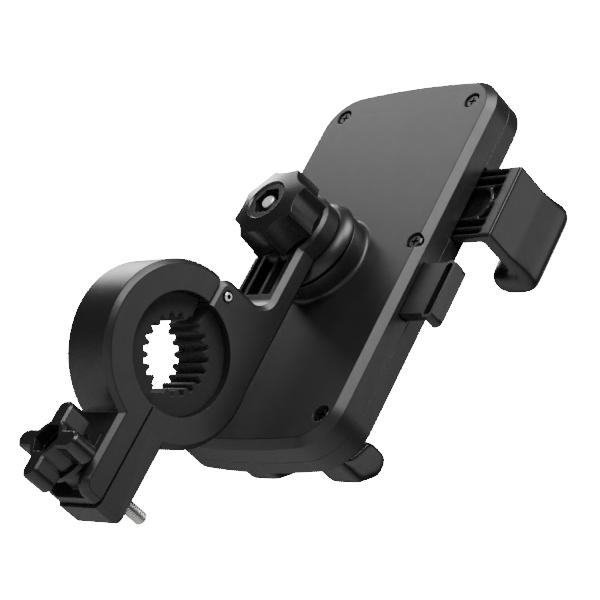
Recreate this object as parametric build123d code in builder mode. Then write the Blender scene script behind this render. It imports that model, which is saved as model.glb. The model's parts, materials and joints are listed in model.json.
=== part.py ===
"""Handlebar phone mount: hinged bar clamp, arm with ball socket, and a phone cradle.

Frame: origin at the centre of the bar bore at half the clamp's width.  +X runs along the
handlebar, +Z runs up the arm and the cradle, +Y points to the knob side, so the phone
lies on the -Y side.  Millimetres.
"""
import os
from math import atan2, cos, pi, radians, sin, sqrt, tan

from build123d import *

os.makedirs("parts", exist_ok=True)

# ---------------------------------------------------------------- shared fits
edge_bevel = 1.4          # bevel along the outer edges of clamp and arm
face_gap = 0.3            # free space between parts that move past each other
seat_gap = 0.02           # between a part and the pocket that holds it still
running_gap = 0.08        # radial play of a turning pin, shaft or gear hub

# ---------------------------------------------------------------- bar clamp
clamp_width = 17.2        # along the bar
ring_radius = 24.5        # outside of the ring
bore_radius = 16.1        # bare bore, for a 31.8 mm bar
split_gap = 0.4           # between base and strap
pad_length = 12.4         # rubber pads, along the bar
pad_tip_radius = 9.2
pad_valley_radius = 10.8
pad_teeth = 9             # ridges in each half
pad_pitch = 18            # degrees between ridges
pad_end_angle = 83        # half angle that each pad spans
pad_tip_share = 0.36      # part of a pitch that the ridge top takes
pad_root_share = 0.68     # part of a pitch between the feet of one ridge
base_ear_bottom = -46.5
base_ear_depth = 8.75     # from the split plane
base_ear_corner = 2.5
strap_ear_bottom = -45.7
strap_ear_face = 7.7      # outer face of the strap's ear
strap_ear_corner = 4.0
bolt_slot_width = 4.6     # slotted bolt hole in the strap's ear
bolt_slot_drop = 1.5      # how far the slot reaches down past the round hole
strap_channel_width = 11.6  # between the ear's side walls, open to the back and below
strap_channel_top = -29.5
strap_web = 2.6           # floor of the channel
boss_radius = 5.3         # round boss that the washer presses on
hinge_y, hinge_z = -3.8, 20.95
hinge_top = 25.7
pin_radius = 1.25
pin_hole_radius = 0.65
pin_stand_out = 0.5
pin_recess_radius = 1.8
pin_recess_depth = 0.6
knuckle_radius = 3.7
knuckle_half_width = 3.4

# ---------------------------------------------------------------- clamp bolt and star knob
bolt_z = -37.8
bolt_radius = 2.0
bolt_tip_y = -19.3
washer_radius = 6.2
hex_flats = 7.0           # across flats of nuts and bolt heads
nut_thickness = 3.2
washer_thickness = 0.8
star_face_y = 17.8
star_skirt_y = 10.1       # the lobes end here
star_back_y = 8.6
star_skirt_radius = 7.2
star_lobes = 4
star_tip_radius = 11.4
star_root_radius = 5.9
star_lobe_radius = 2.7
star_root_fillet = 2.6
star_pocket_radius = 4.5  # corner radius of the hexagonal pocket
star_pocket_depth = 3.5
bolt_head_height = 2.8

# ---------------------------------------------------------------- arm and hub
arm_rear_y = -17.1
arm_front_y = -24.1
arm_fillet = 4.7
arm_recesses = ((-5.5, -2.1), (-1.0, 3.8), (4.9, 7.8))   # X spans between the ribs
arm_recess_depth = 5.0
arm_recess_bottom = 32.1
hub_z = 55.4              # height of the head axis
hub_radius = 11.7
hub_front_y = -22.7
hub_cavity_radius = 9.4
hub_cavity_y = -20.8
hub_bevel = 0.9

# ---------------------------------------------------------------- ball joint
# heights are above the ball's centre, towards the hub
ball_y = -30.3            # centre of all the spherical faces
dome_radius = 14.0
dome_height = 3.0         # the visible dome ends here in a step
dome_fillet = 1.2
ball_radius = 11.0
ball_height = 7.9
ball_opening = 5.0
cavity_radius = 8.4
slip_gap = 0.2            # between spherical faces that slide
slip_thickness = 0.7
slip_angles = (51, 62)    # edges of the nylon ring, from the joint's axis
cup_depth = 2.0           # below the ball's centre
cup_height = 6.4
cup_neck_radius = 3.2
cup_neck_height = 9.2
collar_back_radius = 11.85
collar_rim_y = -26.4
collar_rim_radius = 14.45
collar_bulge = 0.25       # how far the flare stands proud of a straight cone
collar_groove_height = 5.3

# ---------------------------------------------------------------- head knob
knob_face_y = -7.0
knob_back_y = -16.1
knob_radius = 12.04       # over the ridges, at the outer face
knob_back_radius = 12.6
knob_flutes = 8
knob_flute_radius = 9.0
knob_flute_depth = 0.9
knob_phase = 22.5         # degrees, direction of the first ridge
knob_crown = 1.6
knob_recess_radius = 6.3
knob_recess_depth = 0.5
knob_pocket_radius = 4.5
knob_pocket_depth = 1.5   # to the nut's outer face
knob_washer_radius = 6.5
stud_tip_y = -6.1

# ---------------------------------------------------------------- cradle
cradle_half_width = 33.65
cradle_bottom = -5.8
cradle_top = 121.0
cradle_arch = 2.5
cradle_corner = 13.0
cradle_back_y = -33.15
cradle_parting_y = -41.3
cradle_front_y = -47.0
cradle_bevel = 2.2
cradle_wall = 2.0
cradle_skin = 2.2
screw_places = ((25.3, 111.0), (30.2, 61.1), (27.7, 4.9))
screw_head_radius = 2.2
screw_recess_radius = 2.5
screw_recess_depth = 1.6
screw_radius = 1.2
screw_boss_radius = 3.0
phone_pad_thickness = 1.6
phone_pad_half_width = 27.0
phone_pad_bottom, phone_pad_top = 26.0, 112.0

# ---------------------------------------------------------------- side jaws
jaw_z = 80.25
jaw_height = 24.1
jaw_back_y = -41.7
jaw_plate = 3.0
jaw_wall_x = 47.1         # outside of the upright wall, jaws drawn out
jaw_wall = 4.6
jaw_frame_width = 1.9     # of the lattice, along the outer wall
jaw_bay_floor = 0.6
jaw_inner_x = 26.0        # inner end of the wide tongue
jaw_lip_y = -57.0         # inner face of the lip
jaw_lip_depth = 9.6
jaw_lip_tip_x = 34.4
jaw_lip_flare = 1.7        # the lip stands out past the wall
jaw_lip_overrun = 1.3      # and past its ends
jaw_lip_round = 4.6
jaw_lip_end_round = 3.2
jaw_frame = 1.3           # ribs of the lattice
jaw_pad_thickness = 1.4
rack_end = 4.8            # past the pinion, at rest
pinion_teeth = 12
gear_module = 1.0
tooth_addendum = 0.7
tooth_dedendum = 1.1
tooth_backlash = 0.45

# ---------------------------------------------------------------- release tab
tab_z = 47.6
tab_height = 16.6
tab_back_y = -37.1
tab_plate = 3.1
tab_end_x = 45.4
tab_block = 4.0
tab_block_z = 47.3
tab_block_height = 18.6
tab_block_depth = 4.9
tab_block_corner = 1.9
tab_frame = 0.9           # wall around the recess in the end block
tab_recess_depth = 3.6
tab_inner_x = 22.0
tab_arm = 4.0
tab_bar = 2.4
spring_seat_z = 33.6      # axis of the return spring
spring_radius = 1.5
spring_wire = 0.35
spring_turns = 7
spring_post_x = 9.0
ratchet_radius = 7.6
ratchet_teeth = 16
ratchet_tooth_height = 1.0

# ---------------------------------------------------------------- bottom feet
foot_x = 15.85
foot_width = 11.7
foot_low_z = 1.4
foot_sole = 2.9           # thickness under the phone
foot_lip_top = 13.2
foot_tip_y = -66.5
foot_heel_y = -61.0       # the underside turns up here
foot_lip_y = -57.6        # inner side of the lip, at its top
foot_toe_y = -53.6        # and where it meets the sole
foot_side_round = 1.3
foot_tongue_width = 8.0   # tongue through the cover, and the flange behind it
foot_tongue_height = 1.9
foot_flange = 2.4
foot_pad_thickness = 1.0

# ---------------------------------------------------------------- derived values
half_clamp = clamp_width / 2
cradle_inner_back = cradle_back_y - cradle_skin
cradle_inner_front = cradle_front_y + cradle_wall
pinion_radius = gear_module * pinion_teeth / 2
collar_back_y = hub_front_y - face_gap
seat_radius = ball_radius + 2 * slip_gap + slip_thickness + face_gap / 2

def at_x(x):
    """Sketch plane across the bar: sketch x is Y, sketch y is Z."""
    return Plane.YZ.offset(x)


def at_y(y):
    """Sketch plane facing the phone side: sketch x is X, sketch y is Z, extrudes to -Y."""
    return Plane.XZ.offset(-y)


def at_z(z):
    """Sketch plane facing up."""
    return Plane.XY.offset(z)


def save(piece, name):
    """Label a finished piece and write it."""
    piece.part.label = name
    export_step(piece.part, f"parts/{name}.step")


def hexagon_radius(flats):
    return flats / sqrt(3)


def face_outline(part, keep_y, keep_radius):
    """Edges of both end faces, without those on the split plane and around the bore."""
    rims = part.faces().filter_by(Plane.YZ).sort_by(Axis.X)
    edges = rims[0].outer_wire().edges() + rims[-1].outer_wire().edges()
    chosen = []
    for edge in edges:
        middle = edge.position_at(0.5)
        on_split = abs(middle.Y - keep_y) < 0.01
        on_bore = abs(sqrt(middle.Y**2 + middle.Z**2) - keep_radius) < 0.3
        if not on_split and not on_bore:
            chosen.append(edge)
    return chosen


# ================================================================ clamp base with arm
head_axis = Axis((0, 0, hub_z), (0, 1, 0))
with BuildPart() as clamp_base:
    with BuildSketch(at_x(-half_clamp)):
        with BuildLine():
            Polyline(
                (0, 0),
                (0, hinge_top),
                (arm_rear_y, hinge_top),
                (arm_rear_y, hub_z),
                (arm_front_y, hub_z),
                (arm_front_y, 0),
                (0, 0),
            )
        make_face()
        with BuildLine():
            Polyline(
                (0, 0),
                (-base_ear_depth, 0),
                (-base_ear_depth, base_ear_bottom),
                (0, base_ear_bottom),
                (0, 0),
            )
        make_face()
        with BuildSketch(mode=Mode.PRIVATE) as half_ring:
            Circle(ring_radius)
            with Locations((ring_radius, 0)):
                Rectangle(2 * ring_radius, 2 * ring_radius, mode=Mode.SUBTRACT)
        add(half_ring.sketch)
        Circle(bore_radius, mode=Mode.SUBTRACT)
    extrude(amount=clamp_width)
    for corner_y, corner_z, radius in (
        (0, hinge_top, knuckle_radius + face_gap),
        (arm_rear_y, hinge_top, arm_fillet),
        (-base_ear_depth, base_ear_bottom, base_ear_corner),
    ):
        corner = clamp_base.edges().filter_by(Axis.X).sort_by(
            lambda e, y=corner_y, z=corner_z: abs(e.center().Y - y) + abs(e.center().Z - z)
        )[0]
        fillet(corner, radius)
    chamfer(face_outline(clamp_base.part, 0, bore_radius), edge_bevel)
    # recesses in the rear of the arm, between the walls and two ribs
    with BuildSketch(at_y(arm_rear_y)):
        for left, right in arm_recesses:
            with Locations(((left + right) / 2, (arm_recess_bottom + hub_z) / 2)):
                Rectangle(right - left, hub_z - arm_recess_bottom)
    extrude(amount=arm_recess_depth, mode=Mode.SUBTRACT)
    # room for the swivel collar, then the hub
    with BuildSketch(at_y(hub_front_y)):
        with Locations((0, hub_z)):
            Circle(collar_rim_radius + face_gap)
    extrude(amount=hub_front_y - collar_rim_y, mode=Mode.SUBTRACT)
    with BuildSketch(Plane.YZ):
        with BuildLine():
            Polyline(
                (arm_rear_y, hub_z),
                (arm_rear_y, hub_z + hub_radius - hub_bevel),
                (arm_rear_y - hub_bevel, hub_z + hub_radius),
                (hub_front_y, hub_z + hub_radius),
                (hub_front_y, hub_z),
                (arm_rear_y, hub_z),
            )
        make_face()
    revolve(axis=head_axis)
    with BuildSketch(at_y(hub_cavity_y)):
        with Locations((0, hub_z)):
            Circle(hub_cavity_radius)
    extrude(amount=hub_cavity_y - hub_front_y, mode=Mode.SUBTRACT)
    with BuildSketch(at_y(arm_rear_y)):
        with Locations((0, hub_z)):
            Circle(bolt_radius + face_gap)
    extrude(amount=arm_rear_y - hub_front_y, mode=Mode.SUBTRACT)
    # slot for the strap's knuckle, pin hole and the pin's recesses
    slot_half = knuckle_half_width + face_gap
    slot_low = hinge_z - knuckle_radius - face_gap
    with BuildSketch(at_x(-slot_half)):
        with Locations((hinge_y, hinge_z)):
            Circle(knuckle_radius + face_gap)
        with BuildLine():
            Polyline(
                (hinge_y, slot_low),
                (1, slot_low),
                (1, hinge_top + 1),
                (hinge_y, hinge_top + 1),
                (hinge_y, slot_low),
            )
        make_face()
    extrude(amount=2 * slot_half, mode=Mode.SUBTRACT)
    with BuildSketch(at_x(-half_clamp)):
        with Locations((hinge_y, hinge_z)):
            Circle(pin_radius + seat_gap)
    extrude(amount=clamp_width, mode=Mode.SUBTRACT)
    for x, depth in ((-half_clamp, pin_recess_depth), (half_clamp, -pin_recess_depth)):
        with BuildSketch(at_x(x)):
            with Locations((hinge_y, hinge_z)):
                Circle(pin_recess_radius)
        extrude(amount=depth, mode=Mode.SUBTRACT)
    # bolt hole and nut pocket in the ear
    with BuildSketch(at_y(0)):
        with Locations((0, bolt_z)):
            Circle(bolt_radius + face_gap)
    extrude(amount=base_ear_depth, mode=Mode.SUBTRACT)
    with BuildSketch(at_y(0)):
        with Locations((0, bolt_z)):
            RegularPolygon(hexagon_radius(hex_flats) + seat_gap, 6)
    extrude(amount=nut_thickness + face_gap, mode=Mode.SUBTRACT)
save(clamp_base, "clamp_base")

# ================================================================ hinged strap
with BuildPart() as clamp_strap:
    with BuildSketch(at_x(-half_clamp)):
        Circle(ring_radius)
        with Locations((-ring_radius + split_gap, 0)):
            Rectangle(2 * ring_radius, 2 * ring_radius, mode=Mode.SUBTRACT)
        with BuildLine():
            Polyline(
                (split_gap, 0),
                (split_gap, strap_ear_bottom),
                (strap_ear_face, strap_ear_bottom),
                (strap_ear_face, 0),
                (split_gap, 0),
            )
        make_face()
        Circle(bore_radius, mode=Mode.SUBTRACT)
    extrude(amount=clamp_width)
    tip = clamp_strap.edges().filter_by(Axis.X).sort_by(
        lambda e: abs(e.center().Y - strap_ear_face) + abs(e.center().Z - strap_ear_bottom)
    )[0]
    fillet(tip, strap_ear_corner)
    chamfer(face_outline(clamp_strap.part, split_gap, bore_radius), edge_bevel)
    # knuckle that turns on the pin
    with BuildSketch(at_x(-knuckle_half_width)):
        with Locations((hinge_y, hinge_z)):
            Circle(knuckle_radius)
        with BuildLine():
            Polyline(
                (hinge_y, hinge_z - knuckle_radius),
                (split_gap + 2, hinge_z - knuckle_radius),
                (split_gap + 2, hinge_z + 1.6),
                (hinge_y, hinge_z + knuckle_radius),
                (hinge_y, hinge_z - knuckle_radius),
            )
        make_face()
    extrude(amount=2 * knuckle_half_width)
    with BuildSketch(at_x(-half_clamp)):
        with Locations((hinge_y, hinge_z)):
            Circle(pin_radius + running_gap)
    extrude(amount=clamp_width, mode=Mode.SUBTRACT)
    # channel between the ear's side walls, with a round boss for the washer
    with BuildSketch(at_y(strap_ear_face)):
        with Locations((0, (strap_channel_top + strap_ear_bottom) / 2)):
            Rectangle(strap_channel_width, strap_channel_top - strap_ear_bottom)
    channel_depth = strap_ear_face - split_gap - strap_web
    extrude(amount=channel_depth, mode=Mode.SUBTRACT)
    with BuildSketch(at_y(strap_ear_face)):
        with Locations((0, bolt_z)):
            Circle(boss_radius)
        with Locations((0, (bolt_z + strap_channel_top) / 2)):
            Rectangle(2 * boss_radius, strap_channel_top - bolt_z)
    extrude(amount=channel_depth)
    # slotted hole that stays clear of the bolt while the strap swings
    slot_reach = bolt_slot_width + bolt_slot_drop
    with BuildSketch(at_y(strap_ear_face)):
        with Locations((0, bolt_z - bolt_slot_drop / 2)):
            SlotOverall(slot_reach, bolt_slot_width, rotation=90)
    extrude(amount=strap_ear_face, mode=Mode.SUBTRACT)
save(clamp_strap, "clamp_strap")


# ================================================================ rubber pads
def pad_profile(centre):
    """Ridged half pad about the bore axis, centred on the given angle in degrees."""
    steps = []
    for tooth in range(pad_teeth):
        angle = centre + (tooth - (pad_teeth - 1) / 2) * pad_pitch
        half_tip = pad_pitch * pad_tip_share / 2
        half_root = pad_pitch * pad_root_share / 2
        steps.append((pad_valley_radius, angle - half_root))
        steps.append((pad_tip_radius, angle - half_tip))
        steps.append((pad_tip_radius, angle + half_tip))
        steps.append((pad_valley_radius, angle + half_root))
    return steps


def polar(radius, angle):
    return (radius * cos(radians(angle)), radius * sin(radians(angle)))


def build_pad(centre):
    """One half pad, with concentric ridge tops and valleys."""
    outer = bore_radius - seat_gap
    first, last = centre - pad_end_angle, centre + pad_end_angle
    with BuildPart() as pad:
        with BuildSketch(at_x(-pad_length / 2)):
            with BuildLine():
                points = pad_profile(centre)
                start = polar(pad_valley_radius, first)
                Line(polar(outer, first), start)
                previous_radius, previous_angle = pad_valley_radius, first
                for radius, angle in points + [(pad_valley_radius, last)]:
                    begin = polar(previous_radius, previous_angle)
                    end = polar(radius, angle)
                    if radius == previous_radius:
                        ThreePointArc(begin, polar(radius, (angle + previous_angle) / 2), end)
                    else:
                        Line(begin, end)
                    previous_radius, previous_angle = radius, angle
                Line(polar(pad_valley_radius, last), polar(outer, last))
                ThreePointArc(polar(outer, last), polar(outer, centre), polar(outer, first))
            make_face()
        extrude(amount=pad_length)
    return pad


base_pad = build_pad(180)
save(base_pad, "base_pad")
strap_pad = build_pad(0)
save(strap_pad, "strap_pad")

# ================================================================ hinge pin, a rolled tube
with BuildPart() as hinge_pin:
    with BuildSketch(at_x(-half_clamp - pin_stand_out)):
        with Locations((hinge_y, hinge_z)):
            Circle(pin_radius)
            Circle(pin_hole_radius, mode=Mode.SUBTRACT)
    extrude(amount=clamp_width + 2 * pin_stand_out)
    rims = hinge_pin.edges().filter_by(GeomType.CIRCLE).filter_by(
        lambda e: abs(e.radius - pin_radius) < 0.01
    )
    chamfer(rims, 0.2)
save(hinge_pin, "hinge_pin")


def ring(name, y, thickness, outer, inner, z):
    """Flat washer about a Y axis at height z, from y towards the phone side."""
    with BuildPart() as washer:
        with BuildSketch(at_y(y)):
            with Locations((0, z)):
                Circle(outer)
                Circle(inner, mode=Mode.SUBTRACT)
        extrude(amount=thickness)
    save(washer, name)
    return washer


def hex_nut(name, y, z, outer_radius, bore):
    """Nut about a Y axis with bevelled corners on both faces."""
    with BuildPart() as nut:
        with BuildSketch(at_y(y)):
            with Locations((0, z)):
                RegularPolygon(outer_radius, 6)
                Circle(bore, mode=Mode.SUBTRACT)
        extrude(amount=nut_thickness)
        with BuildSketch(at_y(y)):
            with Locations((0, z)):
                Circle(outer_radius)
        extrude(amount=nut_thickness, mode=Mode.INTERSECT)
        chamfer(nut.edges().filter_by(GeomType.CIRCLE).filter_by(
            lambda e: abs(e.radius - bore) < 0.01), 0.25)
    save(nut, name)
    return nut


# ================================================================ clamp bolt, nut, washer
ear_nut = hex_nut("ear_nut", -seat_gap, bolt_z, hexagon_radius(hex_flats), bolt_radius + running_gap)
clamp_washer = ring("clamp_washer", star_back_y, washer_thickness, washer_radius,
                    bolt_radius + face_gap, bolt_z)

star_head_y = star_face_y - star_pocket_depth
with BuildPart() as clamp_bolt:
    with BuildSketch(at_y(star_head_y)):
        with Locations((0, bolt_z)):
            RegularPolygon(hexagon_radius(hex_flats), 6)
    extrude(amount=bolt_head_height)
    chamfer(clamp_bolt.faces().sort_by(Axis.Y)[-1].edges(), 0.35)
    with BuildSketch(at_y(star_head_y - bolt_head_height)):
        with Locations((0, bolt_z)):
            Circle(bolt_radius)
    extrude(amount=star_head_y - bolt_head_height - bolt_tip_y)
    chamfer(clamp_bolt.faces().sort_by(Axis.Y)[0].edges(), 0.4)
save(clamp_bolt, "clamp_bolt")

# ================================================================ star knob
with BuildPart() as clamp_knob:
    with BuildSketch(at_y(star_face_y)) as star_sketch:
        with Locations((0, bolt_z)):
            Circle(star_root_radius)
            with PolarLocations(star_tip_radius - star_lobe_radius, star_lobes):
                Circle(star_lobe_radius)
            with PolarLocations((star_tip_radius - star_lobe_radius) / 2, star_lobes):
                Rectangle(star_tip_radius - star_lobe_radius, 2 * star_lobe_radius)
        roots = [v for v in star_sketch.vertices()
                 if abs(Vector(v.X, 0, v.Z - bolt_z).length - star_root_radius) < 0.1]
        fillet(roots, star_root_fillet)
    extrude(amount=star_face_y - star_skirt_y)
    chamfer(clamp_knob.faces().sort_by(Axis.Y)[-1].edges(), 0.7)
    chamfer(clamp_knob.faces().sort_by(Axis.Y)[0].edges(), 0.4)
    # round skirt
    with BuildSketch(at_y(star_skirt_y)):
        with Locations((0, bolt_z)):
            Circle(star_skirt_radius)
    extrude(amount=star_skirt_y - star_back_y)
    # hexagonal pocket, seat of the bolt's head and the bolt's hole
    with BuildSketch(at_y(star_face_y)):
        with Locations((0, bolt_z)):
            RegularPolygon(star_pocket_radius, 6)
    extrude(amount=star_pocket_depth, mode=Mode.SUBTRACT)
    with BuildSketch(at_y(star_head_y)):
        with Locations((0, bolt_z)):
            RegularPolygon(hexagon_radius(hex_flats) + seat_gap, 6)
    extrude(amount=bolt_head_height, mode=Mode.SUBTRACT)
    with BuildSketch(at_y(star_head_y)):
        with Locations((0, bolt_z)):
            Circle(bolt_radius + seat_gap)
    extrude(amount=star_head_y - star_back_y, mode=Mode.SUBTRACT)
save(clamp_knob, "clamp_knob")

# ================================================================ head knob, nut and washer
knob_length = knob_face_y - knob_back_y
with BuildPart() as head_knob:
    with BuildSketch(Plane.YZ):
        with BuildLine():
            crown_y = knob_face_y + knob_crown
            Polyline(
                (knob_back_y, hub_z),
                (knob_back_y, hub_z + knob_back_radius),
                (knob_face_y, hub_z + knob_radius),
                (crown_y, hub_z + knob_recess_radius),
                (crown_y - knob_recess_depth, hub_z + knob_recess_radius - 0.4),
                (crown_y - knob_recess_depth, hub_z),
                (knob_back_y, hub_z),
            )
        make_face()
    revolve(axis=head_axis)
    # shallow flutes between the ridges
    with BuildSketch(at_y(knob_face_y + knob_crown + 1)):
        for flute in range(knob_flutes):
            angle = radians((flute + 0.5) * 360 / knob_flutes + knob_phase)
            apothem = knob_radius * cos(pi / knob_flutes)
            reach = apothem - knob_flute_depth + knob_flute_radius
            with Locations((reach * cos(angle), hub_z + reach * sin(angle))):
                Circle(knob_flute_radius)
    extrude(amount=knob_length + knob_crown + 2, mode=Mode.SUBTRACT)
    nut_top_y = knob_face_y - knob_pocket_depth
    with BuildSketch(at_y(knob_face_y + knob_crown)):
        with Locations((0, hub_z)):
            RegularPolygon(knob_pocket_radius + seat_gap, 6)
    extrude(amount=knob_crown + knob_pocket_depth + nut_thickness, mode=Mode.SUBTRACT)
    with BuildSketch(at_y(knob_face_y)):
        with Locations((0, hub_z)):
            Circle(bolt_radius + face_gap)
    extrude(amount=knob_length + 1, mode=Mode.SUBTRACT)
save(head_knob, "head_knob")

head_nut = hex_nut("head_nut", nut_top_y, hub_z, knob_pocket_radius, bolt_radius + running_gap)
head_washer = ring("head_washer", knob_back_y, washer_thickness, knob_washer_radius,
                   bolt_radius + face_gap, hub_z)

# ================================================================ ball joint


def on_ball(radius, height):
    """Point of a joint sphere in sketch coordinates (Y, Z), at a height above its centre."""
    return (ball_y + height, hub_z + sqrt(radius**2 - height**2))


def arc_on_ball(radius, start, end):
    """Arc along a joint sphere between two heights."""
    first, last = atan2(sqrt(radius**2 - start**2), start), atan2(sqrt(radius**2 - end**2), end)
    middle = radius * cos((first + last) / 2)
    ThreePointArc(on_ball(radius, start), on_ball(radius, middle), on_ball(radius, end))


cup_radius = cavity_radius - slip_gap
head_seat_y = ball_y - cup_depth + bolt_head_height + 0.2
with BuildPart() as inner_cup:
    with BuildSketch(Plane.YZ):
        with BuildLine():
            Line((ball_y - cup_depth, hub_z), on_ball(cup_radius, -cup_depth))
            arc_on_ball(cup_radius, -cup_depth, cup_height)
            Polyline(
                on_ball(cup_radius, cup_height),
                (ball_y + cup_height, hub_z + cup_neck_radius),
                (ball_y + cup_neck_height, hub_z + cup_neck_radius),
                (ball_y + cup_neck_height, hub_z),
                (ball_y - cup_depth, hub_z),
            )
        make_face()
    revolve(axis=head_axis)
    with BuildSketch(at_y(head_seat_y)):
        with Locations((0, hub_z)):
            RegularPolygon(hexagon_radius(hex_flats) + seat_gap, 6)
    extrude(amount=bolt_head_height + 1, mode=Mode.SUBTRACT)
    with BuildSketch(at_y(ball_y + cup_neck_height)):
        with Locations((0, hub_z)):
            Circle(bolt_radius + seat_gap)
    extrude(amount=cup_neck_height + cup_depth, mode=Mode.SUBTRACT)
save(inner_cup, "inner_cup")

with BuildPart() as head_bolt:
    with BuildSketch(at_y(head_seat_y)):
        with Locations((0, hub_z)):
            RegularPolygon(hexagon_radius(hex_flats), 6)
    extrude(amount=bolt_head_height)
    chamfer(head_bolt.faces().sort_by(Axis.Y)[0].edges(), 0.35)
    with BuildSketch(at_y(stud_tip_y)):
        with Locations((0, hub_z)):
            Circle(bolt_radius)
    extrude(amount=stud_tip_y - head_seat_y)
    chamfer(head_bolt.faces().sort_by(Axis.Y)[-1].edges(), 0.3)
save(head_bolt, "head_bolt")

with BuildPart() as slip_ring:
    inner, outer = ball_radius + slip_gap, ball_radius + slip_gap + slip_thickness
    top, bottom = (cos(radians(angle)) for angle in slip_angles)
    with BuildSketch(Plane.YZ):
        with BuildLine():
            arc_on_ball(outer, outer * top, outer * bottom)
            Line(on_ball(outer, outer * bottom), on_ball(inner, inner * bottom))
            arc_on_ball(inner, inner * bottom, inner * top)
            Line(on_ball(inner, inner * top), on_ball(outer, outer * top))
        make_face()
    revolve(axis=head_axis)
save(slip_ring, "slip_ring")

with BuildPart() as swivel_collar:
    back_height, rim_height = collar_back_y - ball_y, collar_rim_y - ball_y
    skirt_radius = dome_radius + slip_gap
    with BuildSketch(Plane.YZ):
        with BuildLine():
            Line(on_ball(seat_radius, back_height), (collar_back_y, hub_z + collar_back_radius))
            flare_end_y = collar_rim_y + 0.5
            ThreePointArc(
                (collar_back_y, hub_z + collar_back_radius),
                ((collar_back_y + flare_end_y) / 2 + collar_bulge,
                 hub_z + (collar_back_radius + collar_rim_radius) / 2 + collar_bulge),
                (flare_end_y, hub_z + collar_rim_radius),
            )
            Polyline(
                (flare_end_y, hub_z + collar_rim_radius),
                (collar_rim_y, hub_z + collar_rim_radius - 0.2),
                on_ball(skirt_radius, rim_height),
            )
            arc_on_ball(skirt_radius, rim_height, collar_groove_height)
            Line(on_ball(skirt_radius, collar_groove_height),
                 on_ball(seat_radius, collar_groove_height))
            arc_on_ball(seat_radius, collar_groove_height, back_height)
        make_face()
    revolve(axis=head_axis)
save(swivel_collar, "swivel_collar")


# ================================================================ cradle covers
def cradle_outline(inset):
    """Rounded outline with slightly arched ends, inset from the outside."""
    side = cradle_half_width - inset
    low, high = cradle_bottom + inset, cradle_top - inset
    with BuildSketch() as outline:
        with BuildLine():
            ThreePointArc((-side, low + cradle_arch), (0, low), (side, low + cradle_arch))
            Line((side, low + cradle_arch), (side, high - cradle_arch))
            ThreePointArc((side, high - cradle_arch), (0, high), (-side, high - cradle_arch))
            Line((-side, high - cradle_arch), (-side, low + cradle_arch))
        make_face()
        fillet(outline.vertices(), cradle_corner - inset)
    return outline.sketch


def mirrored_screws():
    return [(side * x, z) for x, z in screw_places for side in (-1, 1)]


pinion_z = jaw_z
pivot_radius = 1.6

with BuildPart() as back_cover:
    with BuildSketch(at_y(cradle_back_y)):
        add(cradle_outline(0))
    extrude(amount=cradle_back_y - cradle_parting_y)
    outer_rim = back_cover.faces().sort_by(Axis.Y)[-1].edges()
    chamfer(outer_rim, cradle_bevel)
    with BuildSketch(at_y(cradle_inner_back)):
        add(cradle_outline(cradle_wall))
    extrude(amount=cradle_inner_back - cradle_parting_y, mode=Mode.SUBTRACT)
    # screw posts
    with BuildSketch(at_y(cradle_inner_back)):
        with Locations(*mirrored_screws()):
            Circle(screw_boss_radius)
    extrude(amount=cradle_inner_back - cradle_parting_y)
    # pivot pin for the pinion
    with BuildSketch(at_y(cradle_inner_back)):
        with Locations((0, pinion_z)):
            Circle(pivot_radius)
    extrude(amount=cradle_inner_back - cradle_inner_front - face_gap)
    # dome, step and ball
    skin_height = cradle_back_y - ball_y
    opening_height = sqrt(cavity_radius**2 - ball_opening**2)
    with BuildSketch(Plane.YZ):
        with BuildLine():
            Polyline(
                (cradle_inner_back, hub_z),
                (cradle_inner_back, on_ball(dome_radius, skin_height)[1]),
                on_ball(dome_radius, skin_height),
            )
            arc_on_ball(dome_radius, skin_height, dome_height)
            Line(on_ball(dome_radius, dome_height), on_ball(ball_radius, dome_height))
            arc_on_ball(ball_radius, dome_height, ball_height)
            Polyline(on_ball(ball_radius, ball_height), (ball_y + ball_height, hub_z),
                     (cradle_inner_back, hub_z))
        make_face()
    revolve(axis=head_axis)
    foot_of_dome = back_cover.edges().filter_by(GeomType.CIRCLE).sort_by(
        lambda e: abs(e.arc_center.Y - cradle_back_y) + abs(e.radius - dome_radius))[0]
    fillet(foot_of_dome, dome_fillet)
    # cavity for the inner cup, and its mouth
    with BuildSketch(Plane.YZ):
        with BuildLine():
            Polyline(
                (cradle_inner_back, hub_z),
                (cradle_inner_back, hub_z + cavity_radius),
                (ball_y, hub_z + cavity_radius),
            )
            arc_on_ball(cavity_radius, 0, opening_height)
            Polyline(
                (ball_y + opening_height, hub_z + ball_opening),
                (ball_y + ball_height, hub_z + ball_opening),
                (ball_y + ball_height, hub_z),
                (cradle_inner_back, hub_z),
            )
        make_face()
    revolve(axis=head_axis, mode=Mode.SUBTRACT)
    # post that the release spring pushes against
    with BuildSketch(at_y(cradle_inner_back)):
        with Locations((-spring_post_x, spring_seat_z)):
            Rectangle(2.0, 8.0)
    extrude(amount=5.0)
    # nothing may stand past the outside of the walls
    with BuildSketch(at_y(cradle_back_y + 20)):
        add(cradle_outline(0))
    extrude(amount=20 + cradle_back_y - cradle_parting_y, mode=Mode.INTERSECT)
    # screw recesses and holes
    with BuildSketch(at_y(cradle_back_y)):
        with Locations(*mirrored_screws()):
            Circle(screw_recess_radius)
    extrude(amount=screw_recess_depth, mode=Mode.SUBTRACT)
    with BuildSketch(at_y(cradle_back_y)):
        with Locations(*mirrored_screws()):
            Circle(screw_radius + face_gap)
    extrude(amount=cradle_back_y - cradle_parting_y, mode=Mode.SUBTRACT)
    # slot for the release tab, open to the parting plane
    with BuildSketch(at_y(tab_back_y + face_gap)):
        with Locations((-cradle_half_width, tab_z)):
            Rectangle(3 * cradle_wall, tab_height + 2 * face_gap)
    extrude(amount=tab_plate + 2 * face_gap, mode=Mode.SUBTRACT)
save(back_cover, "back_cover")

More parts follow.
